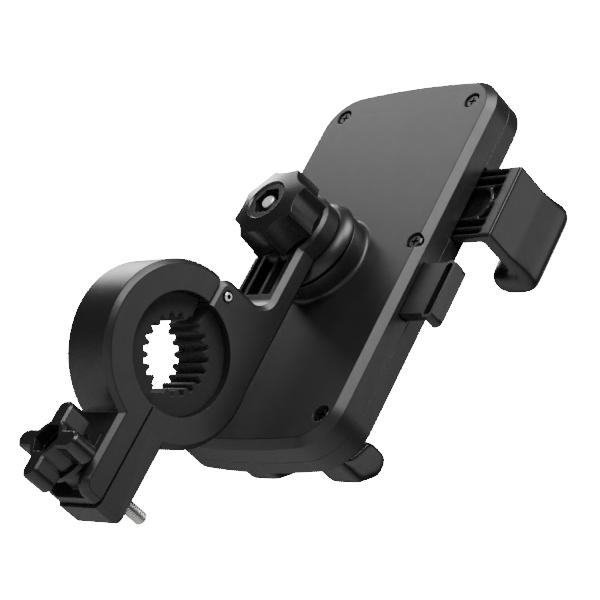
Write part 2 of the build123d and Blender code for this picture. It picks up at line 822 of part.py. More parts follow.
with BuildPart() as front_cover:
    with BuildSketch(at_y(cradle_parting_y)):
        add(cradle_outline(0))
    extrude(amount=cradle_parting_y - cradle_front_y)
    chamfer(front_cover.faces().sort_by(Axis.Y)[0].edges(), 0.8)
    with BuildSketch(at_y(cradle_parting_y)):
        add(cradle_outline(cradle_wall))
    extrude(amount=cradle_parting_y - cradle_inner_front, mode=Mode.SUBTRACT)
    with BuildSketch(at_y(cradle_parting_y)):
        with Locations(*mirrored_screws()):
            Circle(screw_boss_radius)
    extrude(amount=cradle_parting_y - cradle_inner_front)
    # slots for the two jaws
    with BuildSketch(at_y(cradle_parting_y)):
        with Locations((-cradle_half_width, jaw_z), (cradle_half_width, jaw_z)):
            Rectangle(2 * cradle_wall + 2, jaw_height + 2 * face_gap)
    extrude(amount=cradle_parting_y - cradle_inner_front, mode=Mode.SUBTRACT)
    # guide ribs above and below the jaws
    for z in (jaw_z + jaw_height / 2 + face_gap + 0.8, jaw_z - jaw_height / 2 - face_gap - 0.8):
        with Locations((0, (cradle_parting_y + cradle_inner_front) / 2, z)):
            Box(2 * (cradle_half_width - cradle_wall) + 1, cradle_parting_y - cradle_inner_front, 1.6)
    # trim to the outline, then the holes
    with BuildSketch(at_y(cradle_parting_y)):
        add(cradle_outline(0))
    extrude(amount=cradle_parting_y - cradle_front_y, mode=Mode.INTERSECT)
    with BuildSketch(at_y(cradle_parting_y)):
        with Locations(*mirrored_screws()):
            Circle(screw_radius)
    extrude(amount=cradle_parting_y - cradle_inner_front - 0.2, mode=Mode.SUBTRACT)
    # windows that the feet reach through
    with BuildSketch(at_y(cradle_inner_front)):
        for side in (-1, 1):
            with Locations((side * foot_x, foot_low_z + foot_sole / 2)):
                Rectangle(foot_tongue_width + 2 * seat_gap, foot_tongue_height + 2 * seat_gap)
    extrude(amount=cradle_wall, mode=Mode.SUBTRACT)
save(front_cover, "front_cover")

# ================================================================ cover screws
screw_head = 1.1
with BuildPart() as cover_screws:
    head_y = cradle_back_y - 0.5
    with BuildSketch(at_y(head_y)):
        with Locations(*mirrored_screws()):
            Circle(screw_head_radius)
    extrude(amount=screw_head)
    chamfer(cover_screws.faces().filter_by(Plane.XZ).group_by(Axis.Y)[-1].edges(), 0.35)
    with BuildSketch(at_y(head_y - screw_head)):
        with Locations(*mirrored_screws()):
            Circle(screw_radius - seat_gap)
    extrude(amount=head_y - screw_head - cradle_inner_front - 0.5)
    with BuildSketch(at_y(head_y)):
        with Locations(*mirrored_screws()):
            Rectangle(2.6, 0.6)
            Rectangle(0.6, 2.6)
    extrude(amount=0.7, mode=Mode.SUBTRACT)
save(cover_screws, "cover_screws")

# ================================================================ phone pad
with BuildPart() as phone_pad:
    with BuildSketch(at_y(cradle_front_y)):
        with Locations((0, (phone_pad_bottom + phone_pad_top) / 2)):
            RectangleRounded(2 * phone_pad_half_width, phone_pad_top - phone_pad_bottom, 6)
    extrude(amount=phone_pad_thickness)
    chamfer(phone_pad.faces().sort_by(Axis.Y)[0].edges(), 0.5)
save(phone_pad, "phone_pad")


# ================================================================ rack and pinion
def tooth_widths():
    """Width of a rack tooth at its tip, pitch line and root, with backlash taken off."""
    slope = tan(radians(20))
    at_pitch = pi * gear_module / 2 - tooth_backlash
    return (at_pitch - 2 * tooth_addendum * slope, at_pitch, at_pitch + 2 * tooth_dedendum * slope)


with BuildPart() as jaw_pinion:
    gear_y = jaw_back_y - 0.1
    with BuildSketch(at_y(gear_y)):
        with Locations((0, pinion_z)):
            Circle(pinion_radius - tooth_dedendum)
        for tooth in range(pinion_teeth):
            angle = tooth * 360 / pinion_teeth
            tip_width, pitch_width, root_width = tooth_widths()
            inner, outer = pinion_radius - tooth_dedendum - 0.3, pinion_radius + tooth_addendum
            with BuildLine():
                corners = []
                for radius, width in ((inner, root_width), (pinion_radius, pitch_width),
                                      (outer, tip_width * 0.8)):
                    corners.append((radius, width / 2))
                outline = corners + [(r, -w) for r, w in reversed(corners)]
                turned = []
                for along, across in outline:
                    a = radians(angle)
                    turned.append((along * cos(a) - across * sin(a),
                                   pinion_z + along * sin(a) + across * cos(a)))
                Polyline(*turned, turned[0])
            make_face()
    extrude(amount=jaw_plate - 0.4)
    # ratchet wheel that the release tab's pawl holds
    ratchet_y = tab_back_y - 0.3
    with BuildSketch(at_y(ratchet_y)):
        with BuildLine():
            points = []
            for tooth in range(ratchet_teeth):
                start = tooth * 360 / ratchet_teeth
                points.append(polar(ratchet_radius - ratchet_tooth_height, start))
                points.append(polar(ratchet_radius, start + 3))
            moved = [(x, z + pinion_z) for x, z in points]
            Polyline(*moved, moved[0])
        make_face()
    extrude(amount=ratchet_y - jaw_back_y - face_gap)
    with BuildSketch(at_y(ratchet_y)):
        with Locations((0, pinion_z)):
            Circle(pinion_radius - tooth_dedendum)
    extrude(amount=ratchet_y - gear_y)
    with BuildSketch(at_y(ratchet_y)):
        with Locations((0, pinion_z)):
            Circle(pivot_radius + running_gap)
    extrude(amount=12, mode=Mode.SUBTRACT)
save(jaw_pinion, "jaw_pinion")


def build_lip(side):
    """Fat rounded bar along the front edge of a jaw."""
    lip_out_x = jaw_wall_x + jaw_lip_flare
    with BuildPart() as lip:
        with BuildSketch(at_z(jaw_z - jaw_height / 2 - jaw_lip_overrun)):
            with Locations((side * (jaw_lip_tip_x + lip_out_x) / 2, jaw_lip_y - jaw_lip_depth / 2)):
                RectangleRounded(lip_out_x - jaw_lip_tip_x, jaw_lip_depth, jaw_lip_round)
        extrude(amount=jaw_height + 2 * jaw_lip_overrun)
        fillet(lip.faces().filter_by(Axis.Z).edges(), jaw_lip_end_round)
    return lip


def build_jaw(side):
    """Jaw on one side: side is -1 for -X, whose rack runs above the pinion, or +1."""
    low, high = jaw_z - jaw_height / 2, jaw_z + jaw_height / 2
    wall_in = jaw_wall_x - jaw_wall
    with BuildPart() as jaw:
        # wide tongue with open bays between its ribs
        with BuildSketch(at_y(jaw_back_y)):
            with Locations((side * (jaw_inner_x + jaw_wall_x) / 2, jaw_z)):
                Rectangle(jaw_wall_x - jaw_inner_x, jaw_height)
        extrude(amount=jaw_plate)
        outer_corners = jaw.edges().filter_by(Axis.Y).group_by(Axis.X)[0 if side < 0 else -1]
        fillet(outer_corners, 2.4)
        bay_depth = jaw_plate - jaw_bay_floor
        bay_edges = (low + jaw_frame, low + 2.5, low + 2.5 + jaw_frame, low + 5.9,
                     high - 5.9, high - 2.5 - jaw_frame, high - 2.5, high - jaw_frame)
        bay_in, bay_out = jaw_inner_x + 3, jaw_wall_x - jaw_frame_width
        with BuildSketch(at_y(jaw_back_y)):
            for bottom, top in zip(bay_edges[::2], bay_edges[1::2]):
                with Locations((side * (bay_in + bay_out) / 2, (bottom + top) / 2)):
                    Rectangle(bay_out - bay_in, top - bottom)
        extrude(amount=bay_depth, mode=Mode.SUBTRACT)
        # middle bay: a round well, its collar, and two pockets beside a cross rib
        well_x = bay_in + 4.5
        well_radius = (high - low) / 2 - 5.9 - jaw_frame
        with BuildSketch(at_y(jaw_back_y)):
            with Locations((side * (bay_in + well_x) / 2, jaw_z)):
                Rectangle(well_x - bay_in + 4.4, 2 * well_radius)
            with Locations((side * (well_x + 2.2), jaw_z)):
                Circle(well_radius)
        extrude(amount=bay_depth, mode=Mode.SUBTRACT)
        for half in (-1, 1):
            with BuildSketch(at_y(jaw_back_y)) :
                with Locations((side * (bay_out - 3.0), jaw_z + half * (well_radius / 2 + 0.6))):
                    Rectangle(6.0, well_radius)
                with Locations((side * (well_x + 2.2), jaw_z)):
                    Circle(well_radius + jaw_frame, mode=Mode.SUBTRACT)
            extrude(amount=bay_depth, mode=Mode.SUBTRACT)
        # rack arm
        rack_side = -side
        rack_pitch_z = pinion_z + rack_side * pinion_radius
        rack_far_z = jaw_z + rack_side * jaw_height / 2
        back_z = rack_pitch_z + rack_side * tooth_dedendum
        with BuildSketch(at_y(jaw_back_y)):
            with Locations((side * (jaw_inner_x + 1 - rack_end) / 2, (rack_far_z + back_z) / 2)):
                Rectangle(jaw_inner_x + 1 + rack_end, abs(rack_far_z - back_z))
            tip_width, pitch_width, root_width = tooth_widths()
            pitch = pi * gear_module
            first = -int((rack_end + 0.6) / pitch)
            for tooth in range(first, 7):
                x = side * (tooth + (0.5 if rack_side > 0 else 0.5)) * pitch
                tip_z = rack_pitch_z - rack_side * tooth_addendum
                with BuildLine():
                    Polyline(
                        (x - root_width / 2, back_z + rack_side * 0.2),
                        (x - tip_width / 2, tip_z),
                        (x + tip_width / 2, tip_z),
                        (x + root_width / 2, back_z + rack_side * 0.2),
                        (x - root_width / 2, back_z + rack_side * 0.2),
                    )
                make_face()
        extrude(amount=jaw_plate)
        # upright wall that flares into the lip
        flare_y = jaw_lip_y - jaw_lip_round + 0.6
        with BuildSketch(at_z(low)):
            with BuildLine():
                Polyline(
                    (side * jaw_wall_x, jaw_back_y),
                    (side * jaw_wall_x, jaw_lip_y + jaw_lip_round),
                    (side * (jaw_wall_x + jaw_lip_flare), flare_y),
                    (side * wall_in, flare_y),
                    (side * wall_in, jaw_back_y),
                    (side * jaw_wall_x, jaw_back_y),
                )
            make_face()
        extrude(amount=jaw_height)
        add(build_lip(side).part)
    return jaw


left_jaw = build_jaw(-1)
save(left_jaw, "left_jaw")
right_jaw = build_jaw(1)
save(right_jaw, "right_jaw")


def build_jaw_pad(side):
    """Rubber lining of the jaw's upright wall."""
    wall_in = jaw_wall_x - jaw_wall
    with BuildPart() as pad:
        pad_low = cradle_front_y - face_gap
        pad_high = jaw_lip_y + seat_gap
        with Locations((side * (wall_in - jaw_pad_thickness / 2), (pad_low + pad_high) / 2, jaw_z)):
            Box(jaw_pad_thickness - seat_gap, pad_low - pad_high, jaw_height - 3)
        chamfer(pad.faces().sort_by(Axis.X)[0 if side > 0 else -1].edges(), 0.4)
    return pad


left_jaw_pad = build_jaw_pad(-1)
save(left_jaw_pad, "left_jaw_pad")
right_jaw_pad = build_jaw_pad(1)
save(right_jaw_pad, "right_jaw_pad")

# ================================================================ flat spring under the pinion
jaw_spring = ring("jaw_spring", cradle_inner_back - face_gap, 1.0, ratchet_radius - 1,
                  pivot_radius + face_gap, pinion_z)

# ================================================================ release tab with its pawl
pawl_gap = 0.3            # the pawl stands just clear of the ratchet's teeth
pawl_tip_x = ratchet_radius + pawl_gap
pawl_root_x = pawl_tip_x + 1.5
bar_z = pinion_z - ratchet_radius - face_gap - tab_bar
with BuildPart() as release_tab:
    with BuildSketch(at_y(tab_back_y)):
        with Locations((-(tab_inner_x + tab_end_x) / 2, tab_z)):
            Rectangle(tab_end_x - tab_inner_x, tab_height)
        # arm past the pinion, bar under it, and the pawl's post beyond it
        with Locations((-tab_inner_x - tab_arm / 2, (spring_seat_z - 3 + bar_z + tab_bar) / 2)):
            Rectangle(tab_arm, bar_z + tab_bar - spring_seat_z + 3)
        with Locations(((-tab_inner_x - tab_arm + pawl_root_x + tab_bar) / 2, bar_z + tab_bar / 2)):
            Rectangle(tab_inner_x + tab_arm + pawl_root_x + tab_bar, tab_bar)
        with Locations((pawl_root_x + tab_bar / 2, (bar_z + pinion_z + 1) / 2)):
            Rectangle(tab_bar, pinion_z + 1 - bar_z)
        with BuildLine():
            Polyline(
                (pawl_root_x, pinion_z - 0.9),
                (pawl_tip_x, pinion_z + 0.2),
                (pawl_root_x, pinion_z + 0.9),
                (pawl_root_x, pinion_z - 0.9),
            )
        make_face()
    extrude(amount=tab_plate)
    with BuildSketch(at_y(tab_back_y)):
        with Locations((-(tab_end_x - tab_block / 2), tab_block_z)):
            RectangleRounded(tab_block, tab_block_height, tab_block_corner)
    extrude(amount=tab_block_depth)
    with BuildSketch(at_y(tab_back_y)):
        with Locations((-(tab_end_x - tab_block / 2), tab_block_z)):
            SlotOverall(tab_block_height - 2 * tab_frame, tab_block - 2 * tab_frame, rotation=90)
    extrude(amount=tab_recess_depth, mode=Mode.SUBTRACT)
save(release_tab, "release_tab")

with BuildPart() as release_spring:
    spring_y = tab_back_y - tab_plate / 2
    spring_start = (-tab_inner_x + spring_wire + seat_gap, spring_y, spring_seat_z)
    coil_length = tab_inner_x - spring_post_x - 1.0 - 2 * (spring_wire + seat_gap)
    with BuildLine() as coil:
        Helix(coil_length / spring_turns, coil_length, spring_radius,
              center=spring_start, direction=(1, 0, 0))
    with BuildSketch(Plane(origin=coil.wire() @ 0, z_dir=coil.wire() % 0)):
        Circle(spring_wire)
    sweep(is_frenet=True)
save(release_spring, "release_spring")

# ================================================================ bottom feet
def build_foot(side):
    """Foot that curls up into a lip, with a tongue through the front cover and a flange."""
    sole_top = foot_low_z + foot_sole
    tongue_z = foot_low_z + foot_sole / 2
    with BuildPart() as foot:
        with BuildSketch(at_x(side * foot_x)) as profile:
            with BuildLine():
                Polyline(
                    (cradle_front_y, foot_low_z),
                    (foot_heel_y, foot_low_z),
                    (foot_tip_y, foot_low_z + 2 * foot_sole),
                    (foot_tip_y, foot_lip_top),
                    (foot_lip_y, foot_lip_top),
                    (foot_toe_y, sole_top),
                    (cradle_front_y, sole_top),
                    (cradle_front_y, foot_low_z),
                )
            make_face()
            for corner_y, corner_z, radius in (
                (foot_heel_y, foot_low_z, 3.0),
                (foot_tip_y, foot_low_z + 2 * foot_sole, 3.4),
                (foot_tip_y, foot_lip_top, 2.9),
                (foot_lip_y, foot_lip_top, 2.9),
                (foot_toe_y, sole_top, 3.0),
            ):
                corner = profile.vertices().sort_by(
                    lambda v, y=corner_y, z=corner_z: abs(v.X - y) + abs(v.Y - z))[0]
                fillet(corner, radius)
        extrude(amount=foot_width / 2, both=True)
        fillet(foot.faces().filter_by(Axis.X).edges(), foot_side_round)
        with BuildSketch(at_y(cradle_inner_front)):
            with Locations((side * foot_x, tongue_z)):
                Rectangle(foot_tongue_width, foot_tongue_height)
        extrude(amount=cradle_inner_front - cradle_front_y + 1)
        with BuildSketch(at_y(cradle_inner_front + foot_flange)):
            with Locations((side * foot_x, foot_lip_top / 2)):
                Rectangle(foot_tongue_width + 2, foot_lip_top - 2)
        extrude(amount=foot_flange)
    return foot


def build_foot_pad(side):
    """Rubber sole that the phone's lower edge stands on."""
    pad_reach = cradle_front_y - foot_toe_y - 2.0
    with BuildPart() as pad:
        with BuildSketch(at_y(cradle_front_y)):
            with Locations((side * foot_x, foot_low_z + foot_sole + foot_pad_thickness / 2)):
                Rectangle(foot_width - 3, foot_pad_thickness)
        extrude(amount=pad_reach)
    return pad


for side, name in ((-1, "left_foot"), (1, "right_foot")):
    save(build_foot(side), name)
    save(build_foot_pad(side), name + "_pad")
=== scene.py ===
"""Looks of the handlebar phone mount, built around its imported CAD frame.

Metres, in the frame of the CAD: +X along the handlebar, +Z up the arm, +Y to the knob side.
"""
import json
import math

import bmesh
import bpy
import numpy as np
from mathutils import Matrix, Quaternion, Vector


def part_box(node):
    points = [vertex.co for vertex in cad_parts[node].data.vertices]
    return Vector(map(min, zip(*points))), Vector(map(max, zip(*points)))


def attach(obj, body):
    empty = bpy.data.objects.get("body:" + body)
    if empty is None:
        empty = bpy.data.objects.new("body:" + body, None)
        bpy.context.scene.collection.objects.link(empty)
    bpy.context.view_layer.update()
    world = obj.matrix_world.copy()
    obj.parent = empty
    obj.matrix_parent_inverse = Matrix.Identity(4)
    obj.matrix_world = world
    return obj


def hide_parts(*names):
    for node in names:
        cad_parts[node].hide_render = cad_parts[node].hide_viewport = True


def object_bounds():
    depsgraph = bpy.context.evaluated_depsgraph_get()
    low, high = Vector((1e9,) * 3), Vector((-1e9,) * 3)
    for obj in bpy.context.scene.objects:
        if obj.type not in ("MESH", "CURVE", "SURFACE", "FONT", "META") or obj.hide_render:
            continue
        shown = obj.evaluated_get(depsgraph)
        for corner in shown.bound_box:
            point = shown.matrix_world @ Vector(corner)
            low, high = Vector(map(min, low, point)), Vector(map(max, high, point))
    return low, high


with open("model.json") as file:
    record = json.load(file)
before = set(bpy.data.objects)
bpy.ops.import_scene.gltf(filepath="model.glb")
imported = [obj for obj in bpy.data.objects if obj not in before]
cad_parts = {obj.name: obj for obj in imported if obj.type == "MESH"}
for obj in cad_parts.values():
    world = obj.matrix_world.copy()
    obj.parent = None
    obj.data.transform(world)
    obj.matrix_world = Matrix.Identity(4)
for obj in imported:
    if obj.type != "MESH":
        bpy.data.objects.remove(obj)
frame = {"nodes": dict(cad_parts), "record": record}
cad_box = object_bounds()

MM = 0.001
record = frame["record"]


# ---------------------------------------------------------------- places taken from the frame
def centre(node):
    low, high = (Vector(corner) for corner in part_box(node))
    return (low + high) / 2


def low(node):
    return Vector(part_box(node)[0])


def high(node):
    return Vector(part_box(node)[1])


body_of_node = {node: body for body, nodes in record["behaviour"]["bodies"].items() for node in nodes}


# ---------------------------------------------------------------- materials
class Recipe:
    """Short-hand for building one node material."""

    def __init__(self, name, roughness, metallic=0.0):
        self.material = bpy.data.materials.new(name)
        self.material.use_nodes = True
        self.tree = self.material.node_tree
        self.shader = self.tree.nodes["Principled BSDF"]
        self.shader.inputs["Roughness"].default_value = roughness
        self.shader.inputs["Metallic"].default_value = metallic
        self.coordinates = self.add("ShaderNodeTexCoord").outputs["Object"]
        self.last_normal = None

    def add(self, kind, **settings):
        node = self.tree.nodes.new(kind)
        for key, value in settings.items():
            setattr(node, key, value)
        return node

    def link(self, source, target):
        self.tree.links.new(source, target)

    def noise(self, size, detail=2.0, roughness=0.5, stretch=(1, 1, 1)):
        """Noise whose features are about `size` metres across."""
        mapping = self.add("ShaderNodeMapping")
        mapping.inputs["Scale"].default_value = stretch
        self.link(self.coordinates, mapping.inputs["Vector"])
        node = self.add("ShaderNodeTexNoise")
        node.inputs["Scale"].default_value = 1 / size
        node.inputs["Detail"].default_value = detail
        node.inputs["Roughness"].default_value = roughness
        self.link(mapping.outputs["Vector"], node.inputs["Vector"])
        return node.outputs["Fac"]

    def cells(self, size):
        """Fine leathery cells, as a spark-eroded mould leaves them."""
        node = self.add("ShaderNodeTexVoronoi", feature="SMOOTH_F1")
        node.inputs["Scale"].default_value = 1 / size
        self.link(self.coordinates, node.inputs["Vector"])
        return node.outputs["Distance"]

    def spread(self, source, low_value, high_value, start=0.3, end=0.7):
        node = self.add("ShaderNodeMapRange")
        for name, value in (("From Min", start), ("From Max", end),
                            ("To Min", low_value), ("To Max", high_value)):
            node.inputs[name].default_value = value
        self.link(source, node.inputs["Value"])
        return node.outputs["Result"]

    def bump(self, height, strength, depth):
        node = self.add("ShaderNodeBump")
        node.inputs["Strength"].default_value = strength
        node.inputs["Distance"].default_value = depth
        self.link(height, node.inputs["Height"])
        if self.last_normal is not None:
            self.link(self.last_normal, node.inputs["Normal"])
        self.last_normal = node.outputs["Normal"]
        self.link(self.last_normal, self.shader.inputs["Normal"])

    def colours(self, source, first, second):
        node = self.add("ShaderNodeMix", data_type="RGBA")
        self.link(source, node.inputs["Factor"])
        node.inputs["A"].default_value = (*first, 1)
        node.inputs["B"].default_value = (*second, 1)
        return node.outputs["Result"]


def painted_edge_highlight(recipe, base, highlight_colour, amount):
    """Paints a paler colour along convex edges, broken up by noise: a painted edge highlight."""
    edges = recipe.spread(recipe.add("ShaderNodeNewGeometry").outputs["Pointiness"],
                          0.0, amount, start=0.53, end=0.62)
    patches = recipe.spread(recipe.noise(2.2 * MM, detail=4), 0.25, 1.0)
    product = recipe.add("ShaderNodeMath", operation="MULTIPLY")
    recipe.link(edges, product.inputs[0])
    recipe.link(patches, product.inputs[1])
    mix = recipe.add("ShaderNodeMix", data_type="RGBA")
    recipe.link(product.outputs["Value"], mix.inputs["Factor"])
    recipe.link(base, mix.inputs["A"])
    mix.inputs["B"].default_value = (*highlight_colour, 1)
    recipe.link(mix.outputs["Result"], recipe.shader.inputs["Base Color"])


def moulded(name, shade, roughness, grain=0.22 * MM, grain_depth=0.012 * MM, edge_highlight=0.55):
    """Black moulded plastic: eroded grain, flow marks, handling sheen and a painted highlight along
    the edges.
    """
    recipe = Recipe(name, roughness)
    base = recipe.colours(recipe.noise(14 * MM, detail=3),
                          (shade * 0.88, shade * 0.88, shade * 0.92),
                          (shade * 1.14, shade * 1.13, shade * 1.15))
    # painted highlight: a paler colour along the convex edges
    painted_edge_highlight(recipe, base, (shade * 2.6, shade * 2.6, shade * 2.65), edge_highlight)
    smear = recipe.noise(5 * MM, detail=6, roughness=0.7)
    recipe.link(recipe.spread(smear, roughness - 0.02, roughness + 0.03),
                recipe.shader.inputs["Roughness"])
    recipe.bump(recipe.cells(grain), 0.6, grain_depth)
    recipe.bump(recipe.noise(0.7 * MM, detail=3), 0.2, 0.006 * MM)
    return recipe.material


def rubber(name, shade, roughness=0.72):
    recipe = Recipe(name, roughness)
    recipe.shader.inputs["Specular IOR Level"].default_value = 0.35
    recipe.shader.inputs["Sheen Weight"].default_value = 0.12
    recipe.shader.inputs["Sheen Roughness"].default_value = 0.5
    base = recipe.colours(recipe.noise(3 * MM, detail=4), (shade * 0.8,) * 3, (shade * 1.3,) * 3)
    # painted highlight: a paler colour along the convex edges of the rubber
    painted_edge_highlight(recipe, base, (shade * 2.4,) * 3, 0.5)
    recipe.link(recipe.spread(recipe.noise(2 * MM, detail=4), roughness - 0.08, roughness + 0.1),
                recipe.shader.inputs["Roughness"])
    recipe.bump(recipe.noise(0.18 * MM, detail=3), 0.5, 0.015 * MM)
    return recipe.material


def metal(name, colour, roughness, streaks=(1, 1, 1)):
    """Plated steel with drawn streaks, small scratches and uneven gloss."""
    recipe = Recipe(name, roughness, metallic=1.0)
    darker = tuple(value * 0.78 for value in colour)
    base = recipe.colours(recipe.noise(0.9 * MM, detail=4, stretch=streaks), darker, colour)
    recipe.link(base, recipe.shader.inputs["Base Color"])
    recipe.link(recipe.spread(recipe.noise(0.5 * MM, detail=5, stretch=streaks),
                              roughness - 0.08, roughness + 0.12), recipe.shader.inputs["Roughness"])
    recipe.bump(recipe.noise(0.12 * MM, detail=2, stretch=streaks), 0.35, 0.006 * MM)
    return recipe.material


def nylon(name, colour):
    recipe = Recipe(name, 0.4)
    recipe.shader.inputs["Subsurface Weight"].default_value = 0.15
    recipe.shader.inputs["Subsurface Radius"].default_value = (0.002, 0.0018, 0.0014)
    base = recipe.colours(recipe.noise(4 * MM, detail=3), tuple(v * 0.9 for v in colour), colour)
    recipe.link(base, recipe.shader.inputs["Base Color"])
    recipe.link(recipe.spread(recipe.noise(2 * MM, detail=3), 0.34, 0.48),
                recipe.shader.inputs["Roughness"])
    recipe.bump(recipe.noise(0.3 * MM, detail=2), 0.3, 0.01 * MM)
    return recipe.material


body_plastic = moulded("body_plastic", 0.011, 0.36)
cover_plastic = moulded("cover_plastic", 0.012, 0.38, grain=0.3 * MM)
knob_plastic = moulded("knob_plastic", 0.010, 0.26, grain=0.26 * MM, grain_depth=0.007 * MM)
# the jaws get only a faint painted edge highlight
jaw_plastic = moulded("jaw_plastic", 0.010, 0.27, grain_depth=0.008 * MM, edge_highlight=0.08)
tab_plastic = moulded("tab_plastic", 0.010, 0.30, grain_depth=0.008 * MM)
collar_plastic = moulded("collar_plastic", 0.010, 0.34, grain_depth=0.004 * MM)
soft_rubber = rubber("soft_rubber", 0.009)
bright_steel = metal("bright_steel", (0.72, 0.71, 0.69), 0.24)
stud_steel = metal("stud_steel", (0.93, 0.93, 0.92), 0.40)
black_zinc = metal("black_zinc", (0.05, 0.05, 0.054), 0.22)
natural_nylon = nylon("natural_nylon", (0.62, 0.60, 0.54))

finishes = {
    "clamp_base": body_plastic, "clamp_strap": body_plastic,
    "base_pad": soft_rubber, "strap_pad": soft_rubber,
    "hinge_pin": bright_steel, "ear_nut": bright_steel, "clamp_bolt": bright_steel,
    "clamp_washer": black_zinc, "clamp_knob": knob_plastic,
    "head_knob": knob_plastic, "head_nut": black_zinc, "head_bolt": stud_steel,
    "head_washer": black_zinc, "inner_cup": natural_nylon, "slip_ring": natural_nylon,
    "swivel_collar": collar_plastic, "back_cover": cover_plastic, "front_cover": cover_plastic,
    "cover_screws": black_zinc, "phone_pad": soft_rubber,
    "left_jaw": jaw_plastic, "right_jaw": jaw_plastic,
    "left_jaw_pad": soft_rubber, "right_jaw_pad": soft_rubber,
    "jaw_pinion": natural_nylon, "jaw_spring": bright_steel,
    "release_tab": tab_plastic, "release_spring": bright_steel,
    "left_foot": jaw_plastic, "right_foot": jaw_plastic,
    "left_foot_pad": soft_rubber, "right_foot_pad": soft_rubber,
}
for node, material in finishes.items():
    mesh = frame["nodes"][node].data
    mesh.materials.clear()
    mesh.materials.append(material)


# ---------------------------------------------------------------- moulded edges
def shell_of(node, merge_flats):
    """A clean copy of a CAD node's mesh, in the node's finish."""
    mesh = frame["nodes"][node].data.copy()
    work = bmesh.new()
    work.from_mesh(mesh)
    bmesh.ops.remove_doubles(work, verts=work.verts, dist=0.004 * MM)
    if merge_flats:
        bmesh.ops.dissolve_limit(work, angle_limit=math.radians(1.0), verts=work.verts,
                                 edges=work.edges)
    work.to_mesh(mesh)
    work.free()
    mesh.materials.clear()
    mesh.materials.append(finishes[node])
    piece = bpy.data.objects.new(node + "_shell", mesh)
    bpy.context.scene.collection.objects.link(piece)
    return piece, mesh


def stand_for(piece, node):
    """Lets a piece take the place of a CAD node on that node's body."""
    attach(piece, body_of_node[node])
    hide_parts(node)


def ramp(value):
    """Smooth step from 0 to 1."""
    value = np.clip(value, 0, 1)
    return value * value * (3 - 2 * value)


def melted(node, voxel, passes, firmness, soft_from, soft_over, swell):
    """A copy of a CAD node with fat, rounded forms where Y lies beyond `soft_from`.

    The softness grows over the length `soft_over`.  `firmness` is the share of smoothing left
    out before it starts, and `swell` widens the soft end along Z by that share.
    """
    piece, mesh = shell_of(node, merge_flats=False)
    grid = piece.modifiers.new("even_grid", "REMESH")
    grid.mode = "VOXEL"
    grid.voxel_size = voxel
    even = bpy.data.meshes.new_from_object(
        piece.evaluated_get(bpy.context.evaluated_depsgraph_get()))
    piece.modifiers.clear()
    piece.data = even
    even.materials.clear()
    even.materials.append(finishes[node])
    count = len(even.vertices)
    points = np.empty(count * 3)
    even.vertices.foreach_get("co", points)
    points = points.reshape(-1, 3)
    ends = np.empty(len(even.edges) * 2, dtype=np.int32)
    even.edges.foreach_get("vertices", ends)
    first, second = ends.reshape(-1, 2).T
    neighbours = np.bincount(ends, minlength=count)[:, None]
    middle_z = centre(node).z
    share = ramp((soft_from - points[:, 1]) / soft_over)
    points[:, 2] = middle_z + (points[:, 2] - middle_z) * (1 + swell * share)
    share = 0.5 * (1 - firmness * (1 - share))[:, None]
    for _ in range(passes):
        total = np.stack([np.bincount(first, weights=points[second, axis], minlength=count)
                          + np.bincount(second, weights=points[first, axis], minlength=count)
                          for axis in range(3)], axis=1)
        points += share * (total / neighbours - points)
    even.vertices.foreach_set("co", points.ravel())
    even.polygons.foreach_set("use_smooth", np.ones(len(even.polygons), dtype=bool))
    even.update()
    stand_for(piece, node)


def softened(node, width, segments=3, angle=32):
    """A copy of a CAD node with its sharp edges rolled over, as a mould leaves them."""
    piece, mesh = shell_of(node, merge_flats=True)
    bevel = piece.modifiers.new("mould_edge", "BEVEL")
    bevel.width = width
    bevel.segments = segments
    bevel.limit_method = "ANGLE"
    bevel.angle_limit = math.radians(angle)
    bevel.use_clamp_overlap = True
    bevel.miter_outer = "MITER_ARC"
    bevel.harden_normals = False
    for polygon in mesh.polygons:
        polygon.use_smooth = True
    smooth = piece.modifiers.new("normals", "WEIGHTED_NORMAL")
    smooth.keep_sharp = True
    smooth.weight = 80
    stand_for(piece, node)


# widths in mm of the rolled edges
edge_widths = {
    "clamp_base": 0.25, "clamp_strap": 0.25, "clamp_knob": 0.55, "head_knob": 0.7,
    "swivel_collar": 0.2, "back_cover": 0.3, "front_cover": 0.3,
    "release_tab": 0.35, "base_pad": 0.25, "strap_pad": 0.25,
}
for node, width in edge_widths.items():
    softened(node, width * MM)

for node in ("left_jaw", "right_jaw"):
    melted(node, voxel=0.36 * MM, passes=60, firmness=0.86,
           soft_from=-50 * MM, soft_over=8 * MM, swell=0.05)
for node in ("left_foot", "right_foot"):
    melted(node, voxel=0.40 * MM, passes=30, firmness=0.5,
           soft_from=-46 * MM, soft_over=6 * MM, swell=0.04)


# ---------------------------------------------------------------- threaded clamp bolt
BOLT_RADIUS = 2.0 * MM
ROOT_RADIUS = 1.60 * MM
PITCH = 0.7 * MM
ROWS_PER_PITCH = 10
COLUMNS = 48
HEAD_HEIGHT = 2.8 * MM
HEAD_FLATS = 7.0 * MM
HEAD_CHAMFER_HEIGHT = 0.35 * MM
HEAD_CHAMFER_DEPTH = 0.40 * MM
TIP_RADIUS = 1.35 * MM
SHANK_OVERLAP = 0.3 * MM      # how far the shank runs into the head
THREAD_LENGTH = 15.4 * MM


def thread_radius(along, angle):
    """Radius of an M4 thread at a height above the tip, with a chamfered start."""
    phase = (along / PITCH + angle / math.tau) % 1.0
    flank = min(max(1.5 * (1 - abs(2 * phase - 1)) - 0.22, 0.0), 1.0)
    threaded = ROOT_RADIUS + (BOLT_RADIUS - ROOT_RADIUS) * flank
    run_out = min(max((along - THREAD_LENGTH) / (1.5 * PITCH), 0.0), 1.0)
    shank = threaded + (BOLT_RADIUS - threaded) * run_out
    return min(shank, TIP_RADIUS + along)


